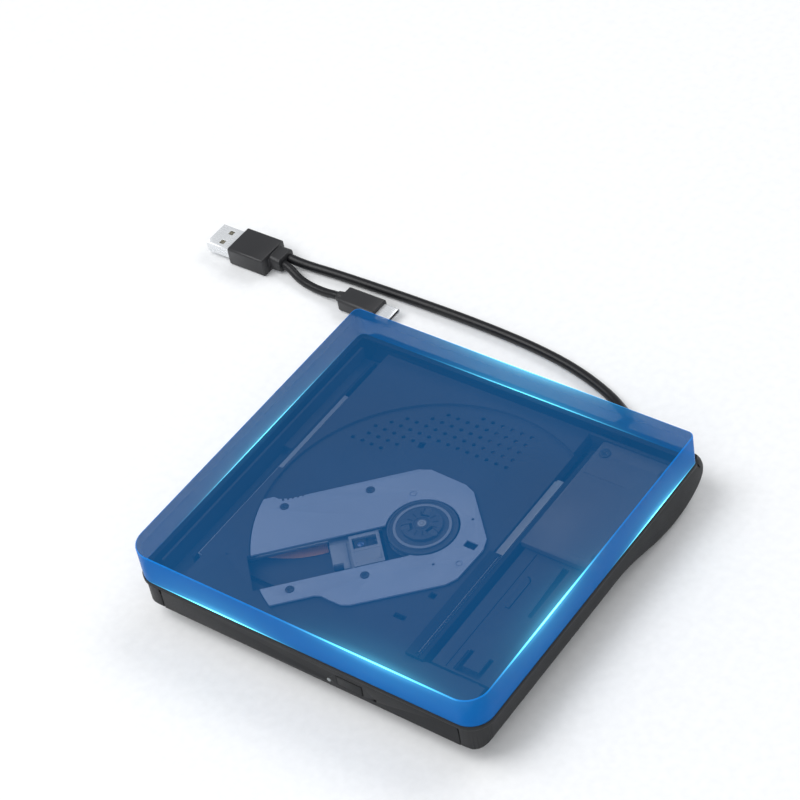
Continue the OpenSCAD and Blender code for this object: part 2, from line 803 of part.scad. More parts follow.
// Outline of the cover plate: a long octagon whose left end follows the disc
// recess, less the wide notch beside its narrow lower arm.
module plate_outline() {
  intersection() {
    polygon([
      [-62, 30.4], [-48.5, 30.4], [-47, 28.9], [-43, plate_v], [3.6, plate_v],
      [8, 26.4], [18.4, 15.4], [plate_u, 11], [plate_u, -12], [18.2, -16.8],
      [7.2, -27], [2.6, -28.5], [-30.6, -27.9], [-33.4, -26.9], [-36.8, -23.6],
      [-39.2, -21], [-41.6, -20.1], [-62, -20.1]
    ]);
    circle(recess_r - 0.4, $fn = 128);
  }
}

module plate_window() {
  circle(motor_hole_r);
  translate([-64, window_v0]) square([57, window_v1 - window_v0]);
  translate([-14, window_v0]) square([5, 3]);
}

module traverse_plate() {
  color(metal_color) at_spindle() difference() {
    slab(tray_z - sheet_t, tray_z) difference() {
      plate_outline();
      plate_window();
      for (h = plate_holes) translate(h) circle(1.15);
      // slot to the right of the spindle, square to the tray
      rotate(-sled_a) translate([17.4, -0.7]) square([4.7, 3]);
      // row of small nicks in the upper edge
      for (k = [0:4]) translate([-46 + 1.8 * k, plate_v - 0.5]) square([0.8, 4]);
      translate([17.6, -1.6]) circle(0.5);
      translate([0.5, -18.2]) circle(0.5);
    }
    // pressed dimples
    for (p = [[-0.2, 16.7], [9.2, -20.6]]) difference() {
      post(p[0], p[1], tray_z - 0.35, rim_z, 1.35);
      post(p[0], p[1], 0, rim_z + 1, 0.8);
    }
    for (h = plate_holes) post(h[0], h[1], tray_z - 0.35, rim_z, head_r + 0.15);
  }
}

module plate_screws() {
  color([0.25, 0.27, 0.3]) at_spindle() for (h = plate_holes) difference() {
    union() {
      post(h[0], h[1], tray_z - 0.35, tray_z + 0.15, head_r);
      post(h[0], h[1], tray_z - 1.8, tray_z - 0.35, 1);
    }
    for (a = [20, 110]) translate([h[0], h[1], tray_z - 0.15]) rotate(a)
      translate([-0.95, -0.2, 0]) cube([1.9, 0.4, 1]);
  }
}

frame_z0 = rib_z;
frame_z1 = recess_z - 0.8;
low_z1 = recess_z - floor_t - 0.3;

module traverse_frame() {
  color([0.16, 0.17, 0.19]) at_spindle() difference() {
    union() {
      difference() {
        union() {
          slab(frame_z0, frame_z1) intersection() {
            polygon([
              [-57, 24.8], [7.4, 24.8], [16.2, 15.5], [16.2, -16.6], [7.6, -24.6], [-33.6, -24.6],
              [-35.8, -22.5], [-38.3, -19.7], [-41.3, -18.6], [-57, -18.6]
            ]);
            circle(recess_r - 2.6);
          }
          slab(frame_z0, low_z1) translate([-70.6, -16.8]) square([16, 31.2]);
        }
        // well that the sled runs in, open below and above
        slab(0, rim_z) translate([-69.2, -16.2]) square([69.2 - 13.9, 26.2]);
      }
      // lugs that the cover plate is screwed to, above the rods
      for (h = plate_holes) let (dv = h[1] > 0 ? -1.3 : -2.6)
        block([h[0] - 2, h[1] + dv, low_z1], [h[0] + 2, h[1] + dv + 3.9 - abs(dv + 2.6), tray_z - sheet_t]);
    }
    for (h = plate_holes) post(h[0], h[1], 0, rim_z, 1);
    cylinder(h = rim_z, r = motor_hole_r - 0.3);
    // bearings of the rods and the screw, and the seat of the sled motor
    for (v = rod_v) translate([-72, v, rod_z]) rotate([0, 90, 0]) cylinder(h = 62, r = rod_r);
    translate([-72, screw_v, rod_z]) rotate([0, 90, 0]) cylinder(h = 5, r = 0.85);
    block([motor_u0, screw_v - 2.4, 0], [motor_u0 + motor_len, screw_v + 2.4, rim_z]);
    block([-68.2, screw_v - 2.4, 0], [motor_u0 + 0.1, screw_v + 1.4, rim_z]);
    // seats of the dampers
    for (s = damper_spots) post(s[0], s[1], 0, rim_z, 2.1);
  }
}

module dampers() {
  color([0.1, 0.1, 0.1]) at_spindle() for (s = damper_spots) difference() {
    union() {
      post(s[0], s[1], frame_z0, frame_z1 + 0.5, 2.1);
      post(s[0], s[1], frame_z1, frame_z1 + 0.5, 3);
    }
    post(s[0], s[1], 0, rim_z, 0.9);
  }
}

module guide_rods() {
  color([0.82, 0.84, 0.87]) at_spindle() for (v = rod_v)
    translate([rod_u0, v, rod_z]) rotate([0, 90, 0]) cylinder(h = rod_u1 - rod_u0, r = rod_r);
}

module spindle_motor() {
  color([0.5, 0.54, 0.6]) at_spindle() {
    difference() {
      union() {
        post(0, 0, frame_z0, frame_z0 + 0.8, motor_hole_r - 0.3);
        post(0, 0, frame_z0, frame_z0 + 2.6, 8.6);
        post(0, 0, frame_z0, recess_z - 0.4, 3);
      }
      post(0, 0, 0, rim_z, 1.05);
    }
    // coils
    for (k = [0:8]) rotate(40 * k) block([5.4, -1.1, frame_z0 + 2.5], [8.2, 1.1, frame_z0 + 3.1]);
  }
}

module sled_motor() {
  color([0.75, 0.77, 0.8]) at_spindle() {
    intersection() {
      difference() {
        translate([motor_u0, screw_v, rod_z]) rotate([0, 90, 0]) cylinder(h = motor_len, r = 2.3);
        translate([motor_u0 - 1, screw_v, rod_z]) rotate([0, 90, 0]) cylinder(h = 3, r = 0.85);
      }
      slab(frame_z0 - 0.1, tray_z - sheet_t) translate([-40, 0]) square(40);
    }
  }
}

// Springy printed flex that bows from the sled to the frame.
module pickup_flex() {
  color([0.72, 0.45, 0.3]) at_spindle() {
    difference() {
      slab(pan_z + 0.15, pan_z + 0.3) translate([-37, 43.4]) circle(40, $fn = 180);
      block([-80, 9.6, 0], [10, 90, rim_z]);
      block([-33.6, -20, 0], [10, 40, rim_z]);
      block([-80, -20, 0], [-56, 40, rim_z]);
    }
  }
}

// ---- spindle ---------------------------------------------------------------

claw_w = 2.6;

module turntable() {
  color([0.56, 0.62, 0.7]) at_spindle() {
    difference() {
      union() {
        post(0, 0, recess_z - 0.2, disc_z - 0.5, 12.6);
        post(0, 0, recess_z - 0.2, disc_z - 0.3, 9.4);
      }
      // shallow dish between the rim and the hub
      translate([0, 0, disc_z - 0.9]) difference() {
        cylinder(h = 2, r = 11.9);
        translate([0, 0, -1]) cylinder(h = 4, r = 10.4);
      }
    }
    post(0, 0, frame_z0 + 0.3, hub_top_z - 0.4, 1);
  }
}

// Soft ring that the disc rests on.
module turntable_ring() {
  color([0.3, 0.36, 0.44]) at_spindle() difference() {
    post(0, 0, disc_z - 0.5, disc_z, 10.4);
    post(0, 0, disc_z - 1, disc_z + 1, 9.4);
  }
}

module hub() {
  color([0.25, 0.32, 0.42]) at_spindle() difference() {
    union() {
      post(0, 0, disc_z - 0.3, hub_top_z - 0.3, hub_r);
      translate([0, 0, hub_top_z - 0.3]) cylinder(h = 0.15, r1 = hub_r, r2 = hub_r - 0.3);
      post(0, 0, hub_top_z - 0.4, hub_top_z, 1.8);
    }
    post(0, 0, 0, hub_top_z - 0.4, 1);
    for (k = [0:2]) rotate(60 + 120 * k)
      block([3.4, -claw_w / 2 - 0.12, disc_z - 0.02], [hub_r + 1, claw_w / 2 + 0.12, rim_z]);
    // ring groove round the boss
    translate([0, 0, hub_top_z - 0.45]) difference() {
      cylinder(h = 1, r = 3);
      translate([0, 0, -1]) cylinder(h = 3, r = 2.2);
    }
  }
}

// One of three sprung claws that hold a disc on the hub.
module hub_claw(k) {
  color([0.3, 0.38, 0.5]) at_spindle() rotate(60 + 120 * k) {
    block([4.4, -claw_w / 2, disc_z + 0.02], [7, claw_w / 2, hub_top_z - 0.4]);
    translate([6.6, 0, disc_z + 0.42]) intersection() {
      cylinder(h = 0.6, r = 1.15);
      block([-1, -2, -1], [2, 2, 2]);
    }
  }
}

// ---- sled ------------------------------------------------------------------

module lead_screw() {
  n = floor(38 / screw_pitch);
  color([0.8, 0.8, 0.78]) at_spindle() {
    translate([-69.4, screw_v, rod_z]) rotate([0, 90, 0]) cylinder(h = 45.6, r = 0.8);
    for (k = [0:n]) translate([-67.6 + screw_pitch * k, screw_v, rod_z]) rotate([0, 90, 0])
      cylinder(h = 1.2, r = 1.1);
  }
}

module pickup_carriage() {
  box_v0 = window_v0 + 0.9;
  box_v1 = window_v1 - 1;
  low = pan_z + 0.6;
  color([0.6, 0.64, 0.7]) at_spindle() difference() {
    union() {
      // main body and its arms round both rods
      block([-26, box_v0, low], [carriage_u1, box_v1, tray_z - 1.6]);
      block([carriage_u0, -6, low], [-25.9, 4, wing_z]);
      block([carriage_u0 + 3.6, -9, low], [-25.9, 4, wing_z]);
      block([-25.4, rod_v[0] - 1.5, low], [-16, box_v0 + 0.1, rod_z + 1.3]);
      block([-33, box_v1 - 0.1, low], [-20, rod_v[1] + 1.4, rod_z + 1.3]);
      // nut arm that reaches the lead screw
      block([-32.4, rod_v[1] + 1.3, rod_z - 0.5], [-30.4, screw_v - 1.25, rod_z + 0.5]);
    }
    for (v = rod_v) translate([-40, v, rod_z]) rotate([0, 90, 0]) cylinder(h = 30, r = rod_r + 0.04);
    // well for the lens
    block([lens_u - 3, -3, low + 1.4], [-16.2, 3, rim_z]);
  }
}

module pickup_cover() {
  top = tray_z - 0.5;
  color(metal_color) at_spindle() difference() {
    union() {
      block([-26, window_v0 + 0.9, tray_z - 1.6], [carriage_u1, window_v1 - 1, top]);
      block([carriage_u0 + 0.2, -5.8, wing_z], [-27.2, 3.65, wing_z + 0.4]);
      block([carriage_u0 + 3.8, -8.8, wing_z], [-27.2, 3.65, wing_z + 0.4]);
    }
    block([lens_u - 2.8, -2.6, 0], [-16.4, 2.4, rim_z]);
    // fold lines
    block([-25.6, -4.2, top - 0.15], [-16, -3.9, rim_z]);
    post(-24.8, -9.6, top - 0.2, rim_z, 0.5);
    post(-16.8, -9.6, top - 0.2, rim_z, 0.5);
  }
}

module lens_actuator() {
  z0 = pan_z + 3;
  color([0.12, 0.13, 0.15]) at_spindle() difference() {
    union() {
      block([lens_u - 2.2, -2.2, z0], [lens_u + 2.2, 2.2, tray_z - 1.4]);
      block([lens_u + 2.1, -1.7, z0], [-17, 1.7, tray_z - 2]);
    }
    post(lens_u, 0, z0 - 1, rim_z, 1.3);
  }
}

module objective_lens() {
  z0 = tray_z - 2.4;
  color([0.55, 0.75, 0.95]) at_spindle() {
    post(lens_u, 0, z0, tray_z - 1.5, 1.3);
    translate([lens_u, 0, tray_z - 1.5]) intersection() {
      translate([0, 0, -1.6]) sphere(2);
      cylinder(h = 1, r = 1.2);
    }
  }
}

// ---- latch -----------------------------------------------------------------

pivot = [latch_x - 3, latch_d - 2.4];
hook_z = [pan_z + 1.2, pan_z + 2.6];
tail = 3;
pull_d = pivot[1] - tail;
open_a = 18;

// Hook that turns about an upright pin of the tray, drawn swung clear of the
// latch pin. Turned back by open_a its tooth stands behind the pin.
module latch_lever() {
  color([0.85, 0.85, 0.82]) place() translate([pivot[0], pivot[1], 0]) rotate(open_a) difference() {
    union() {
      post(0, 0, hook_z[0], hook_z[1], 1.8);
      block([-0.9, -tail - 0.6, hook_z[0]], [0.9, 5.2, hook_z[1]]);
      block([-0.9, 3.8, hook_z[0]], [2.8, 5.2, hook_z[1]]);
    }
    post(0, 0, 0, rim_z, 0.9);
  }
}

module latch_solenoid() {
  color([0.7, 0.5, 0.25]) place() difference() {
    block([33.4, pull_d - 2, rib_z + 0.3], [41.6, pull_d + 2.2, tray_z - floor_t]);
    translate([36, pull_d, hook_z[0] + 0.7]) rotate([0, 90, 0]) cylinder(h = 7, r = 0.86);
  }
}

// Pushes the latch's tail to the right to free the tray.
module solenoid_plunger() {
  color([0.8, 0.82, 0.85]) place()
    translate([38, pull_d, hook_z[0] + 0.7]) rotate([0, 90, 0]) cylinder(h = pivot[0] - 0.4 - 38, r = 0.8);
}

// ---- lead and plugs ----------------------------------------------------------

module cable_gland() {
  color([0.1, 0.1, 0.1]) translate([exit_x, exit_y - gland_len, exit_z]) rotate([-90, 0, 0]) {
    cylinder(h = 1, r = 3.4);
    translate([0, 0, 1]) cylinder(h = gland_len - 1, r1 = 3, r2 = 2.3);
    translate([0, 0, -2.6]) cylinder(h = 2.6, r = 2.6);
  }
}

module main_cable() {
  color([0.09, 0.09, 0.09]) swept_tube(eased(main_route), lead_r, 8);
}

module branch_cable() {
  color([0.09, 0.09, 0.09]) swept_tube(eased(branch_route), branch_r, 8);
}

a_len = 17.6;
a_w = 14.6;
a_h = 8.2;

module usb_a_body() {
  color([0.13, 0.13, 0.14]) translate([plug_a[0], plug_a[1], 0]) {
    rotate([90, 0, 90]) translate([0, 0, -a_len / 2]) linear_extrude(a_len)
      translate([0, a_h / 2]) rounded_bar(a_w, a_h, 1);
    rotate([90, 0, 90]) translate([0, 0, a_len / 2]) linear_extrude(5.2)
      translate([1.4, 3.7]) rounded_bar(9.4, 6.6, 2);
  }
}

// Rectangle of a given width and height with rounded corners, centred.
module rounded_bar(w, h, r) {
  square([w - 2 * r, h], center = true);
  square([w, h - 2 * r], center = true);
  for (x = [-1, 1], y = [-1, 1]) translate([x * (w / 2 - r), y * (h / 2 - r)]) circle(r);
}

module usb_a_shell() {
  color(metal_color) translate([plug_a[0] - a_len / 2 - 12, plug_a[1], a_h / 2]) difference() {
    block([0, -6, -2.25], [12, 6, 2.25]);
    block([-1, -5.7, -1.95], [11.7, 5.7, 1.95]);
    for (y = [-4.1, 1.9]) block([5, y, -3], [7.2, y + 2.2, 3]);
  }
}

module usb_a_tongue() {
  color([0.92, 0.92, 0.9]) translate([plug_a[0] - a_len / 2 - 11.4, plug_a[1], a_h / 2]) difference() {
    block([0, -5.6, -1.85], [11.1, 5.6, 0.1]);
    for (k = [0:3]) block([0.8, -4 + 2.3 * k, -0.05], [8, -3 + 2.3 * k, 1]);
  }
}

c_len = 17;
c_w = 9.4;
c_h = 5.8;

module usb_c_body() {
  color([0.13, 0.13, 0.14]) translate([plug_c[0], plug_c[1], c_h / 2]) {
    rotate([90, 0, 90]) translate([0, 0, -c_len / 2]) linear_extrude(c_len) rounded_bar(c_w, c_h, 1.4);
    translate([-c_len / 2 - 3.2, 0, 0]) rotate([0, 90, 0]) cylinder(h = 3.3, r1 = 2.1, r2 = 2.6);
  }
}

module usb_c_shell() {
  color(metal_color) translate([plug_c[0] + c_len / 2, plug_c[1], c_h / 2]) rotate([90, 0, 90]) difference() {
    linear_extrude(6.6) rounded_bar(8.3, 2.5, 1.2);
    translate([0, 0, 0.4]) linear_extrude(7) rounded_bar(7.7, 1.9, 0.9);
  }
}

module usb_c_tongue() {
  color([0.15, 0.15, 0.16]) translate([plug_c[0] + c_len / 2 + 0.4, plug_c[1], c_h / 2])
    rotate([90, 0, 90]) difference() {
      linear_extrude(5.6) rounded_bar(7.5, 1.7, 0.8);
      translate([0, 0, 0.6]) linear_extrude(6) rounded_bar(6.7, 0.7, 0.3);
    }
}
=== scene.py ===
import math

import bmesh
import bpy
from mathutils import Matrix, Vector


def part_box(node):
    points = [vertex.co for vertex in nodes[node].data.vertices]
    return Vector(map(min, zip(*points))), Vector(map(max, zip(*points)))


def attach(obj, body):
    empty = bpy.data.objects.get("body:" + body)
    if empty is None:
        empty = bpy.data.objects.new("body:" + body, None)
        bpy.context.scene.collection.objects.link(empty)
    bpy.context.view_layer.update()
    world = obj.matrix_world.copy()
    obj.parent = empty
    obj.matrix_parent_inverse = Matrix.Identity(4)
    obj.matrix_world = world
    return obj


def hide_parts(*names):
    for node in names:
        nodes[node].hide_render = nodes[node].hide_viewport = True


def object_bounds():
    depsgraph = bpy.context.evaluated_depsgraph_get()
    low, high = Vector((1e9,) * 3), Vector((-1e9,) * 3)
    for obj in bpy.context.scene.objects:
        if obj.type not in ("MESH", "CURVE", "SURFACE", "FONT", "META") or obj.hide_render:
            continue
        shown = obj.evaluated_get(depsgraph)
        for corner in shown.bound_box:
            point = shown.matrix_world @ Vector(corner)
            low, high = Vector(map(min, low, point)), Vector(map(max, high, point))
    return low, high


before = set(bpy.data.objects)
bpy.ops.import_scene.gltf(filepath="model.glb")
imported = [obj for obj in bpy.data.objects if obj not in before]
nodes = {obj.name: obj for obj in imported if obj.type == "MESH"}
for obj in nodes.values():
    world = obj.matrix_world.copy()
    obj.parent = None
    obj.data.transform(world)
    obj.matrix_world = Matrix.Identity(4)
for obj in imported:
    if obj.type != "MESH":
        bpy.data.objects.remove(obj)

cad_low, cad_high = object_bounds()
MM = 0.001
UP = Vector((0, 0, 1))

# Where the housing's rim, the cover and the spindle are, read off the frame.
COVER_LOW, COVER_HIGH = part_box("top_cover")
RIM_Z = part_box("base_shell")[1].z
TOP_Z = COVER_HIGH.z
HUB_LOW, HUB_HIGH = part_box("hub")
SPINDLE = Vector(((HUB_LOW.x + HUB_HIGH.x) / 2, (HUB_LOW.y + HUB_HIGH.y) / 2, 0))
SLED_ANGLE = math.radians(45)

# The camera: angles in degrees, the lens in millimetres, distance and target in metres.
VIEW_AZIMUTH, VIEW_ELEVATION, VIEW_ROLL = 42.924, 43.436, -11.206
VIEW_LENS = 115.7
VIEW_DISTANCE = 0.93281
VIEW_TARGET = Vector((-0.03855, 0.04216, 0.0196))



# ---- camera and light ---------------------------------------------------------


def direction(azimuth, elevation):
    """Unit vector from the object towards a place round it; azimuth 0 is in front."""
    a, e = math.radians(azimuth), math.radians(elevation)
    return Vector((math.sin(a) * math.cos(e), -math.cos(a) * math.cos(e), math.sin(e)))


def turned_to(back, roll=0.0):
    """Rotation of a camera or lamp that looks along -back, rolled by an angle in degrees."""
    right = UP.cross(back).normalized()
    up = back.cross(right)
    r = math.radians(roll)
    across = right * math.cos(r) + up * math.sin(r)
    along = up * math.cos(r) - right * math.sin(r)
    return Matrix((across, along, back)).transposed()


def make_camera():
    """The camera, at the photograph's viewing angle."""
    data = bpy.data.cameras.new("camera")
    data.lens = VIEW_LENS
    data.sensor_width = 36
    data.clip_start = 0.05
    data.clip_end = 20
    camera = bpy.data.objects.new("camera", data)
    back = direction(VIEW_AZIMUTH, VIEW_ELEVATION)
    place = Matrix.Translation(VIEW_TARGET + back * VIEW_DISTANCE)
    camera.matrix_world = place @ turned_to(back, VIEW_ROLL).to_4x4()
    bpy.context.scene.collection.objects.link(camera)
    bpy.context.scene.camera = camera


def area_lamp(name, azimuth, elevation, distance, size, power):
    """A soft rectangular lamp that faces the object; sizes in metres, power in watts."""
    data = bpy.data.lights.new(name, "AREA")
    data.shape = "RECTANGLE"
    data.size, data.size_y = size
    data.energy = power
    lamp = bpy.data.objects.new(name, data)
    back = direction(azimuth, elevation)
    lamp.matrix_world = Matrix.Translation(back * distance) @ turned_to(back).to_4x4()
    bpy.context.scene.collection.objects.link(lamp)


def make_studio():
    """Plain pale floor, an even sky and three soft lamps."""
    bpy.context.scene.view_settings.view_transform = "Standard"
    world = bpy.data.worlds.new("studio")
    bpy.context.scene.world = world
    world.use_nodes = True
    background = world.node_tree.nodes["Background"]
    background.inputs["Color"].default_value = (0.93, 0.96, 1.0, 1)
    background.inputs["Strength"].default_value = 0.42
    area_lamp("key", -50, 58, 1.6, (1.2, 1.2), 17)
    area_lamp("fill", 35, 35, 1.8, (1.6, 1.0), 7)
    area_lamp("back", 165, 40, 1.6, (1.4, 0.6), 8)
    half, below = 6.0, 0.1 * MM
    corners = [(-half, -half, 0), (half, -half, 0), (half, half, 0), (-half, half, 0)]
    mesh = bpy.data.meshes.new("floor")
    mesh.from_pydata(corners, [], [(0, 1, 2, 3)])
    floor = bpy.data.objects.new("floor", mesh)
    floor.location.z = cad_low.z - below
    bpy.context.scene.collection.objects.link(floor)
    paper = Graph("studio_paper")
    paper.put("Roughness", 0.9)
    paper.put("Specular IOR Level", 0.2)
    grain = paper.noise(paper.coords(), 300, 4)
    paper.put("Base Color", paper.blend(grain, (0.86, 0.865, 0.87), (0.9, 0.905, 0.91)))
    mesh.materials.append(paper.material)


# ---- materials ------------------------------------------------------------------


def srgb(red, green, blue):
    """Linear colour of an sRGB colour given from 0 to 255."""
    def linear(value):
        value /= 255
        return value / 12.92 if value <= 0.04045 else ((value + 0.055) / 1.055) ** 2.4
    return tuple(linear(v) for v in (red, green, blue))


class Graph:
    """Short calls for building a material's nodes."""

    def __init__(self, name):
        self.material = bpy.data.materials.new(name)
        self.material.use_nodes = True
        self.tree = self.material.node_tree
        self.shader = self.tree.nodes["Principled BSDF"]

    def set(self, socket, value):
        """Links a socket to another, or gives it a number or colour."""
        if isinstance(value, bpy.types.NodeSocket):
            self.tree.links.new(value, socket)
        elif isinstance(value, (tuple, list)) and len(value) == 3 and socket.type == "RGBA":
            socket.default_value = (*value, 1)
        else:
            socket.default_value = value

    def put(self, name, value):
        """Sets one of the shader's own sockets."""
        self.set(self.shader.inputs[name], value)

    def node(self, kind, inputs, **settings):
        made = self.tree.nodes.new("ShaderNode" + kind)
        for name, value in settings.items():
            setattr(made, name, value)
        for key, value in inputs.items():
            self.set(made.inputs[key], value)
        return made

    def coords(self):
        return self.node("TexCoord", {}).outputs["Object"]

    def placed(self, stretch=(1, 1, 1), turn=0.0):
        """Object coordinates turned about Z, then stretched along each axis."""
        turned = self.node("VectorRotate", {"Vector": self.coords(), "Angle": -turn}, rotation_type="Z_AXIS")
        return self.math_vector("MULTIPLY", turned.outputs[0], stretch)

    def math(self, operation, *values):
        return self.node("Math", dict(enumerate(values)), operation=operation).outputs[0]

    def math_vector(self, operation, *values):
        made = self.node("VectorMath", dict(enumerate(values)), operation=operation)
        return made.outputs["Value"] if operation in ("LENGTH", "DOT_PRODUCT") else made.outputs["Vector"]

    def noise(self, vector, scale, detail=2.0, rough=0.5):
        inputs = {"Vector": vector, "Scale": scale, "Detail": detail, "Roughness": rough}
        return self.node("TexNoise", inputs).outputs["Fac"]

    def blend(self, factor, low, high):
        """Colour from low to high as factor goes over the middle of a noise's range."""
        spread = self.node("MapRange", {"Value": factor, "From Min": 0.3, "From Max": 0.7})
        mixed = self.node("MixRGB", {"Fac": spread.outputs[0], "Color1": low, "Color2": high})
        return mixed.outputs[0]

    def ranged(self, value, low, high, start=0.3, end=0.7):
        """Number from low to high as value goes from start to end, the middle of a noise's range."""
        inputs = {"Value": value, "From Min": start, "From Max": end, "To Min": low, "To Max": high}
        return self.node("MapRange", inputs).outputs[0]

    def bump(self, height, depth, before=None):
        inputs = {"Height": height, "Distance": depth, "Strength": 1.0}
        if before is not None:
            inputs["Normal"] = before
        return self.node("Bump", inputs).outputs[0]


def surface(name, colour, rough, metal=0.0, grain=0.3, depth=0.015, mottle=0.1, spread=0.1,
            stretch=(1, 1, 1), turn=0.0, coat=0.0, gloss=0.5):
    """A finish with a fine grain that roughens and dents it, and broad, faint mottling.
    colour is in sRGB from 0 to 255; grain is the grain's size and depth its height, in millimetres."""
    g = Graph(name)
    colour = srgb(*colour)
    fine = g.noise(g.placed(stretch, turn), 1 / (grain * MM), 3.0)
    broad = g.noise(g.coords(), 90, 4.0, 0.6)
    both = g.math("ADD", g.math("MULTIPLY", fine, 0.6), g.math("MULTIPLY", broad, 0.4))
    low = tuple(c * (1 - mottle) for c in colour)
    high = tuple(min(c * (1 + mottle), 1) for c in colour)
    g.put("Base Color", g.blend(both, low, high))
    g.put("Roughness", g.ranged(both, max(rough - spread, 0.03), min(rough + spread, 1)))
    g.put("Metallic", metal)
    g.put("Normal", g.bump(fine, depth * MM))
    g.put("Specular IOR Level", gloss)
    if coat:
        g.put("Coat Weight", coat)
        g.put("Coat Roughness", 0.25)
    return g.material


# Stretches of the grain: brushed along X, brushed across it, and the turns of a coil.
BRUSH = (0.04, 1, 1)
CROSS_BRUSH = (1, 0.04, 1)
WOUND = (1, 0.05, 1)

# What surface() makes each plain finish from.
FINISHES = {
    "moulded_black": dict(colour=(33, 34, 36), rough=0.5, grain=0.22, depth=0.02, gloss=0.22),
    "tray_black": dict(colour=(62, 62, 66), rough=0.6, grain=0.3, depth=0.015, gloss=0.2),
    "frame_black": dict(colour=(34, 35, 38), rough=0.6, grain=0.35, depth=0.02, mottle=0.2, gloss=0.2),
    "pad_black": dict(colour=(34, 34, 35), rough=0.85, grain=0.5, depth=0.03, mottle=0.2),
    "plate_steel": dict(colour=(146, 158, 182), rough=0.5, metal=0.1, grain=0.12, depth=0.006,
                        mottle=0.05, stretch=BRUSH, turn=SLED_ANGLE),
    "pan_steel": dict(colour=(52, 53, 57), rough=0.6, metal=0.1, grain=0.2, depth=0.008,
                      mottle=0.08, stretch=BRUSH),
    "cover_steel": dict(colour=(84, 85, 90), rough=0.55, metal=0.15, grain=0.18, depth=0.006,
                        mottle=0.05, stretch=CROSS_BRUSH),
    "rail_steel": dict(colour=(165, 168, 172), rough=0.4, metal=0.6, grain=0.15, depth=0.008,
                       mottle=0.08, stretch=CROSS_BRUSH),
    "screw_steel": dict(colour=(95, 97, 102), rough=0.35, metal=0.8, grain=0.2, depth=0.01),
    "rod_steel": dict(colour=(150, 154, 160), rough=0.3, metal=0.8, grain=0.1, depth=0.003,
                      mottle=0.04, spread=0.06, stretch=CROSS_BRUSH, turn=SLED_ANGLE),
    "alloy": dict(colour=(128, 134, 144), rough=0.45, metal=0.3, grain=0.4, depth=0.02, mottle=0.12),
    "plated": dict(colour=(232, 234, 236), rough=0.25, metal=0.45, grain=0.1, depth=0.004,
                   mottle=0.04, stretch=BRUSH),
    "board": dict(colour=(28, 70, 48), rough=0.45, grain=0.8, depth=0.01, mottle=0.25, coat=0.4),
    "chip": dict(colour=(38, 38, 40), rough=0.5, grain=0.15, depth=0.01),
    "natural_nylon": dict(colour=(222, 216, 198), rough=0.5, grain=0.3, depth=0.01),
    "acetal": dict(colour=(214, 212, 204), rough=0.4, grain=0.4, depth=0.008, mottle=0.04),
    "coil_copper": dict(colour=(176, 108, 58), rough=0.35, metal=0.7, grain=0.12, depth=0.03, stretch=WOUND),
    "turned_grey": dict(colour=(76, 80, 88), rough=0.5, metal=0.2, grain=0.25, depth=0.01, gloss=0.3),
    "ring_rubber": dict(colour=(132, 138, 150), rough=0.8, grain=0.2, depth=0.02, gloss=0.2),
    "claw_grey": dict(colour=(80, 84, 92), rough=0.4, grain=0.3, depth=0.01, gloss=0.3),
    "cord_black": dict(colour=(20, 20, 23), rough=0.36, grain=0.5, depth=0.012, mottle=0.15, gloss=0.35),
    "plug_black": dict(colour=(38, 38, 40), rough=0.42, grain=0.2, depth=0.015),
    "pickup_steel": dict(colour=(142, 148, 160), rough=0.45, metal=0.2, grain=0.15, depth=0.008),
}


def striped(name, base, line, pitch, across, rough=0.45, metal=0.0):
    """Flat conductor tracks: fine parallel lines, pitch millimetres apart along the given direction."""
    g = Graph(name)
    along = g.math_vector("DOT_PRODUCT", g.coords(), across)
    wave = g.math("SINE", g.math("MULTIPLY", along, 2 * math.pi / (pitch * MM)))
    level = g.ranged(wave, 0.0, 1.0, -0.2, 0.35)
    grain = g.noise(g.coords(), 4000, 2)
    mixed = g.node("MixRGB", {"Fac": level, "Color1": base, "Color2": line})
    g.put("Base Color", mixed.outputs[0])
    g.put("Roughness", g.ranged(grain, rough - 0.08, rough + 0.08))
    g.put("Metallic", metal)
    g.put("Normal", g.bump(level, 0.03 * MM))
    return g.material


def lens_coating():
    """Dark blue coated glass with faint smudges."""
    g = Graph("lens_coating")
    g.put("Base Color", srgb(70, 92, 140))
    g.put("Metallic", 0.3)
    g.put("IOR", 1.6)
    smudge = g.noise(g.coords(), 1200, 3)
    g.put("Roughness", g.ranged(smudge, 0.02, 0.09))
    g.put("Coat Weight", 1.0)
    return g.material


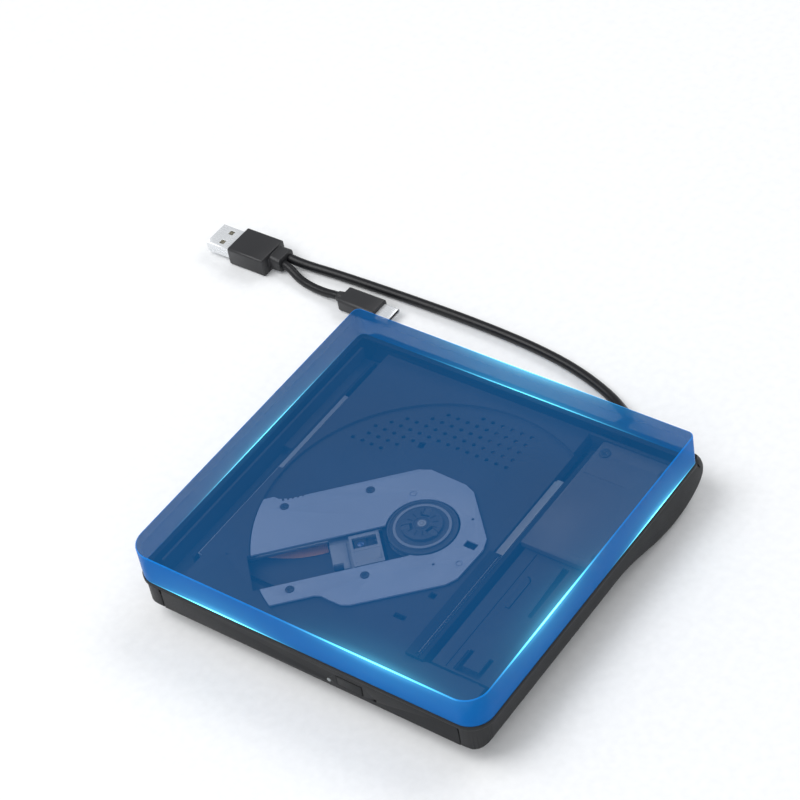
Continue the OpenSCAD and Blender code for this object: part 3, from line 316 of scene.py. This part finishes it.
def hub_plastic():
    """Grey hub with the motor shaft's bright, turned end in the middle and moulded ribs round it, their
    grooves painted near-black as shade.
    """
    ribs = 12
    shaft_radius, rib_inner, rib_outer = 1.5 * MM, 3.4 * MM, 5.6 * MM
    fade, turning_pitch = 0.3 * MM, 0.9 * MM
    g = Graph("hub_plastic")
    offset = g.math_vector("SUBTRACT", g.coords(), tuple(SPINDLE))
    flat = g.math_vector("MULTIPLY", offset, (1, 1, 0))
    radius = g.math_vector("LENGTH", flat)
    parts = g.node("SeparateXYZ", {"Vector": flat})
    angle = g.math("ARCTAN2", parts.outputs["Y"], parts.outputs["X"])
    rib = g.ranged(g.math("SINE", g.math("MULTIPLY", angle, ribs)), 0.0, 1.0, 0.7, 0.95)
    outside = g.ranged(radius, 0.0, 1.0, rib_inner, rib_inner + fade)
    inside = g.ranged(radius, 1.0, 0.0, rib_outer, rib_outer + fade)
    rib_grooves_and_painted_shade = g.math("MULTIPLY", rib, g.math("MULTIPLY", outside, inside))
    turned = g.math("SINE", g.math("MULTIPLY", radius, 2 * math.pi / turning_pitch))
    end = g.ranged(radius, 1.0, 0.0, shaft_radius, shaft_radius + fade)
    shaft = g.math("MULTIPLY", end, g.ranged(turned, 0.6, 1.0, -0.5, 0.5))
    # The rib grooves are painted near-black: painted shade in the grooves, on top of the dent the bump
    # makes.
    moulded = g.node("MixRGB", {"Fac": rib_grooves_and_painted_shade, "Color1": srgb(70, 74, 83), "Color2": srgb(28, 30, 34)})
    whole = {"Fac": shaft, "Color1": moulded.outputs[0], "Color2": srgb(150, 154, 160)}
    g.put("Base Color", g.node("MixRGB", whole).outputs[0])
    g.put("Roughness", g.ranged(g.noise(g.coords(), 3000, 3), 0.38, 0.55))
    g.put("Specular IOR Level", 0.3)
    g.put("Normal", g.bump(rib_grooves_and_painted_shade, -0.05 * MM))
    return g.material


def lamp_plastic():
    """Pale clear plastic of the unlit lamp."""
    g = Graph("lamp_plastic")
    g.put("Base Color", srgb(132, 138, 140))
    g.put("Roughness", g.ranged(g.noise(g.coords(), 2500, 3), 0.15, 0.3))
    g.put("Coat Weight", 0.5)
    return g.material


# Painted highlights: bright glints painted as emission on stretches of the cover's edges: centre and half
# length in millimetres, and the axis they run along.
PAINTED_HIGHLIGHTS = [
    ((-34.4, -71.5, 19.9), 17, 0),
    ((34.0, -71.5, 32.5), 20, 0),
    ((-72.6, 3.5, 19.9), 26, 1),
    ((3.0, 65.4, 19.9), 26, 0),
    ((3.0, 65.4, 32.5), 26, 0),
    ((72.6, 38.0, 19.9), 15, 1),
    ((72.6, -27.0, 32.5), 18, 1),
]


# What each painted highlight is made of, from its bright core to its wide haze: width in millimetres, how
# far it is drawn out along the edge, and strength.
PAINTED_HIGHLIGHT_LAYERS = [(0.3, 1.0, 5.0), (2.2, 1.0, 0.5), (8.0, 1.35, 0.15)]


def painted_highlight(g, width, length):
    """Sum of soft spots drawn out along the cover's edges, which make the painted highlights."""
    total = 0.0
    where = g.coords()
    for centre, half, axis in PAINTED_HIGHLIGHTS:
        reach = [width * MM] * 3
        reach[axis] = half * length * MM
        offset = g.math_vector("SUBTRACT", where, tuple(c * MM for c in centre))
        scaled = g.math_vector("MULTIPLY", offset, tuple(1 / r for r in reach))
        far = g.math_vector("LENGTH", scaled)
        spot = g.math("POWER", math.e, g.math("MULTIPLY", g.math("MULTIPLY", far, far), -1.0))
        total = g.math("ADD", spot, total)
    return total


def tinted(name, colour, alpha, painted_highlight_share=1.0):
    """Clear blue plastic, thin enough to see through, with painted highlights: emission at stretches of its
    edges.
    """
    rough, spread = 0.2, 0.05
    g = Graph(name)
    fine = g.noise(g.coords(), 2200, 3)
    broad = g.noise(g.coords(), 14, 2)
    low = tuple(c * 0.93 for c in colour)
    high = tuple(min(c * 1.07, 1) for c in colour)
    g.put("Base Color", g.blend(broad, low, high))
    g.put("Roughness", g.ranged(fine, rough - spread, rough + spread))
    g.put("Normal", g.bump(fine, 0.002 * MM))
    g.put("Alpha", alpha)
    g.put("Specular IOR Level", 0.05)
    # The emission is painted highlight along the cover's edges, not a lamp; the inner skin takes a smaller
    # share of it.
    strength = 0.0
    for width, length, power in PAINTED_HIGHLIGHT_LAYERS:
        strength = g.math("ADD", g.math("MULTIPLY", painted_highlight(g, width, length), power * painted_highlight_share), strength)
    g.put("Emission Color", (0.15, 0.76, 1.0, 1))
    g.put("Emission Strength", strength)
    return g.material


# ---- shapes ---------------------------------------------------------------------


def add_mesh(name, mesh, body, materials):
    """A new piece from a mesh, riding on a body, with its materials in order."""
    made = bpy.data.objects.new(name, mesh)
    bpy.context.scene.collection.objects.link(made)
    for material in materials:
        mesh.materials.append(material)
    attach(made, body)
    return made


# The cover's rounded corners seen from above, at the front and at the rear.
FRONT_CORNER = 8.7 * MM
REAR_CORNER = 2.7 * MM
LEAST_CORNER = 0.5 * MM
CORNER_STEPS = 10


def plan(inset):
    """Outline of the cover seen from above, with its four rounded corners, set in by inset."""
    low = Vector((COVER_LOW.x + inset, COVER_LOW.y + inset))
    high = Vector((COVER_HIGH.x - inset, COVER_HIGH.y - inset))
    front = FRONT_CORNER - inset
    rear = max(REAR_CORNER - inset, LEAST_CORNER)
    corners = [
        (high.x - front, low.y + front, front, -90),
        (high.x - rear, high.y - rear, rear, 0),
        (low.x + rear, high.y - rear, rear, 90),
        (low.x + front, low.y + front, front, 180),
    ]
    outline = []
    for x, y, radius, start in corners:
        for k in range(CORNER_STEPS + 1):
            a = math.radians(start + 90 * k / CORNER_STEPS)
            outline.append((x + radius * math.cos(a), y + radius * math.sin(a)))
    return outline


def cover_profile():
    """The wall's section as two lists of (inset, height) pairs: outside from the foot up and over
    the rounded edge, and inside from the ceiling's fillet down."""
    edge, wall, fillet, foot = 0.4 * MM, 1.8 * MM, 0.8 * MM, 0.4 * MM
    outer = [(0.0, RIM_Z), (0.0, RIM_Z + foot)]
    for k in range(7):
        a = math.radians(15 * k)
        outer.append((edge * (1 - math.cos(a)), TOP_Z - edge + edge * math.sin(a)))
    inner = []
    for k in range(3, -1, -1):
        a = math.radians(30 * k)
        inner.append((wall + fillet * (1 - math.cos(a)), TOP_Z - wall - fillet + fillet * math.sin(a)))
    inner.append((wall, RIM_Z))
    return outer, inner


def make_cover():
    """The see-through cover: an outer and an inner skin that meet at the foot."""
    finishes = [
        tinted("cover_wall", srgb(0, 106, 188), 0.84),
        # The rounded rim is given a lighter blue than the wall: a painted highlight along the edge.
        tinted("cover_edge_painted_highlight", srgb(20, 130, 222), 0.8),
        tinted("cover_top", srgb(20, 86, 140), 0.52),
        tinted("cover_inside", srgb(24, 90, 165), 0.07, painted_highlight_share=0.3),
    ]
    wall, edge, top, inside = range(4)
    outer, inner = cover_profile()
    bm = bmesh.new()
    rings = [[bm.verts.new((x, y, z)) for x, y in plan(inset)] for inset, z in outer + inner]
    count = len(rings[0])
    roof_at = len(outer) - 1
    ceiling_at = len(outer)

    def band(a, b, finish):
        for k in range(count):
            face = bm.faces.new((a[k], a[(k + 1) % count], b[(k + 1) % count], b[k]))
            face.material_index = finish
            face.smooth = True

    for k in range(roof_at):
        band(rings[k], rings[k + 1], wall if k < 2 else edge)
    roof = bm.faces.new(rings[roof_at])
    roof.material_index = top
    ceiling = bm.faces.new(list(reversed(rings[ceiling_at])))
    ceiling.material_index = inside
    for k in range(ceiling_at, len(rings) - 1):
        band(rings[k], rings[k + 1], inside)
    band(rings[-1], rings[0], inside)
    bmesh.ops.recalc_face_normals(bm, faces=bm.faces)
    mesh = bpy.data.meshes.new("cover_shell")
    bm.to_mesh(mesh)
    bm.free()
    cover = add_mesh("cover_shell", mesh, "housing", finishes)
    cover.visible_shadow = False
    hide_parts("top_cover")


def smooth_route(points, steps=6):
    """Points of a curve through the given ones (Catmull-Rom)."""
    padded = [points[0], *points, points[-1]]
    route = []
    for a, b, c, d in zip(padded, padded[1:], padded[2:], padded[3:]):
        for k in range(steps):
            t = k / steps
            route.append(0.5 * ((2 * b) + (c - a) * t + (2 * a - 5 * b + 4 * c - d) * t * t
                                + (3 * b - a - 3 * c + d) * t ** 3))
    return route + [points[-1]]


# The two leads' routes in millimetres: from the gland to the larger plug, and from it to the smaller one.
MAIN_ROUTE = [
    (35, 75.95, 10.6), (34.8, 78, 9.9), (33.8, 80.6, 8.2), (31.8, 83.4, 6),
    (28.6, 86.6, 3.6), (24.5, 89.6, 2.3), (19, 92.6, 1.95), (12, 95.4, 1.95),
    (3, 98.2, 1.95), (-8, 100.6, 1.95), (-22, 102.4, 1.95), (-38, 103.4, 1.95),
    (-56, 103.8, 1.95), (-76, 103.7, 1.95), (-96, 103.3, 1.95),
    (-114, 102.7, 1.95), (-126, 101.8, 2.2), (-132, 101.1, 2.9),
    (-135.4, 100.9, 3.4), (-137, 100.9, 3.5),
]
BRANCH_ROUTE = [
    (-137, 96.8, 3.5), (-135, 96.6, 3.3), (-131.6, 95.6, 2.6),
    (-127.6, 94.2, 1.9), (-123, 93, 1.75), (-118, 92.3, 1.75),
    (-112.6, 91.9, 2.1), (-108.4, 91.8, 2.7), (-106.2, 91.8, 2.9),
]


def make_cord(name, route_mm, diameter, node, material):
    """A round lead along a route that ends at a plug, which stands for its plain CAD node."""
    route = smooth_route([Vector(p) * MM for p in route_mm])
    curve = bpy.data.curves.new(name, "CURVE")
    curve.dimensions = "3D"
    curve.bevel_depth = diameter / 2
    curve.bevel_resolution = 6
    curve.use_fill_caps = True
    spline = curve.splines.new("POLY")
    spline.points.add(len(route) - 1)
    for point, place in zip(spline.points, route):
        point.co = (*place, 1)
    spline.use_smooth = True
    curve.materials.append(material)
    cord = bpy.data.objects.new(name, curve)
    bpy.context.scene.collection.objects.link(cord)
    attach(cord, "housing")
    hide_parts(node)


# How CAD nodes are cleaned and rounded: weld distance in metres, angles in degrees.
WELD_DISTANCE = 0.002 * MM
FLAT_ANGLE = 0.3
ROUND_ANGLE = 32


def soften(name, width):
    """Rounds a CAD node's hard edges by a small width in millimetres, and shades it smoothly."""
    piece = nodes[name]
    for face in piece.data.polygons:
        face.use_smooth = True
    weld = piece.modifiers.new("weld", "WELD")
    weld.merge_threshold = WELD_DISTANCE
    flat = piece.modifiers.new("flat", "DECIMATE")
    flat.decimate_type = "DISSOLVE"
    flat.angle_limit = math.radians(FLAT_ANGLE)
    bevel = piece.modifiers.new("round", "BEVEL")
    bevel.width = width * MM
    bevel.segments = 2
    bevel.limit_method = "ANGLE"
    bevel.angle_limit = math.radians(ROUND_ANGLE)
    bevel.use_clamp_overlap = False
    bevel.harden_normals = True


def wear(name, material):
    """Gives a CAD node its material."""
    piece = nodes[name]
    piece.data.materials.clear()
    piece.data.materials.append(material)


# Which CAD nodes take which plain finish.
FINISH_OF = {
    "moulded_black": ["base_shell", "front_bezel", "eject_button"],
    "tray_black": ["tray"],
    "frame_black": ["traverse_frame", "left_guide", "right_guide", "rail_cover"],
    "pad_black": ["front_feet", "rear_foot_strips", "dampers", "cable_gland"],
    "plate_steel": ["traverse_plate"],
    "pan_steel": ["chassis_pan", "side_panel"],
    "cover_steel": ["pcb_cover"],
    "rail_steel": ["left_rail", "right_rail"],
    "screw_steel": ["case_screws", "cover_plate_screws", "plate_screws", "latch_pin", "solenoid_plunger"],
    "rod_steel": ["guide_rods"],
    "alloy": ["spindle_motor", "sled_motor", "pickup_carriage"],
    "turned_grey": ["turntable"],
    "plated": ["usb_a_shell", "usb_c_shell"],
    "board": ["main_pcb", "bridge_pcb", "button_board"],
    "chip": ["pcb_chips", "bridge_chips", "lens_actuator", "usb_c_tongue"],
    "natural_nylon": ["drive_connector", "usb_a_tongue"],
    "acetal": ["lead_screw", "latch_lever"],
    "coil_copper": ["latch_solenoid"],
    "ring_rubber": ["turntable_ring"],
    "claw_grey": ["hub_claw_1", "hub_claw_2", "hub_claw_3"],
    "plug_black": ["usb_a_body", "usb_c_body"],
    "pickup_steel": ["pickup_cover"],
}
REPLACED = ("top_cover", "main_cable", "branch_cable")

# Width of the rounding on a node's edges, in millimetres.
ROUNDING = {
    "base_shell": 0.3, "usb_a_body": 0.3, "usb_c_body": 0.3, "front_bezel": 0.25, "eject_button": 0.3,
    "tray": 0.12, "traverse_plate": 0.1, "usb_a_shell": 0.15, "usb_c_shell": 0.12,
}
USUAL_ROUNDING = 0.08


def dress_nodes(finish):
    """Materials and rounded edges on every CAD node that stays."""
    for material, names in FINISH_OF.items():
        for name in names:
            wear(name, finish[material])
    ribbon = striped("ribbon_tracks", srgb(92, 70, 46), srgb(128, 98, 64), 0.5, (1, 0, 0))
    for name in ("ribbon_lower", "ribbon_fold", "ribbon_upper"):
        wear(name, ribbon)
    flex = striped("flex_tracks", srgb(196, 134, 84), srgb(226, 172, 118), 0.6, (0.7, 0.7, 0), 0.35, 0.3)
    wear("pickup_flex", flex)
    wear("objective_lens", lens_coating())
    wear("hub", hub_plastic())
    wear("led_lens", lamp_plastic())
    for name in nodes:
        if name not in REPLACED:
            soften(name, ROUNDING.get(name, USUAL_ROUNDING))


make_camera()
finish = {name: surface(name, **look) for name, look in FINISHES.items()}
make_cord("main_lead", MAIN_ROUTE, 3.8 * MM, "main_cable",
          finish["cord_black"])
make_cord("branch_lead", BRANCH_ROUTE, 3.4 * MM, "branch_cable",
          finish["cord_black"])
make_studio()
dress_nodes(finish)
make_cover()
